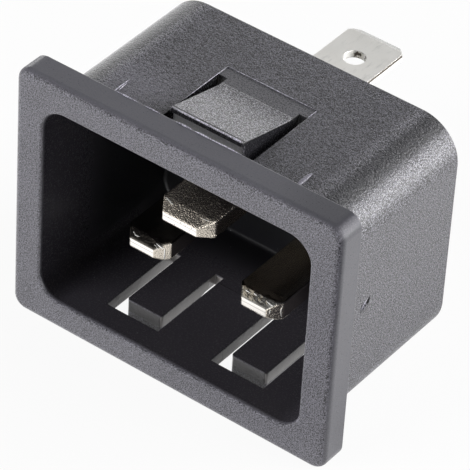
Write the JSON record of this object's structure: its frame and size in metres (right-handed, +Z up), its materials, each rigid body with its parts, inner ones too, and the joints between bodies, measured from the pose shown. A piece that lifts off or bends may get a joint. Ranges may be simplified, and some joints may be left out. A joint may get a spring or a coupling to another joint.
{
  "type": "snap-in appliance inlet",
  "caption": "Snap-in panel inlet with a plain rectangular flange, an open rounded socket, flat bevelled blades and rear push-on tabs with round holes.",
  "frame": {"origin": "middle of the flange's rear face, which seats on the panel", "axes": "-Y out of the socket mouth, +Y behind the panel along the tabs, +Z up on the earth side, +X to the right of someone who looks into the socket"},
  "size_m": [0.0366, 0.0319, 0.0284],
  "materials": {
    "black_plastic": "fine spark texture",
    "plated_metal": "nickel plated, satin"
  },
  "bodies": {
    "root": {"housing": "black_plastic", "left_contact": "plated_metal", "right_contact": "plated_metal", "earth_contact": "plated_metal"}
  },
  "joints": []
}
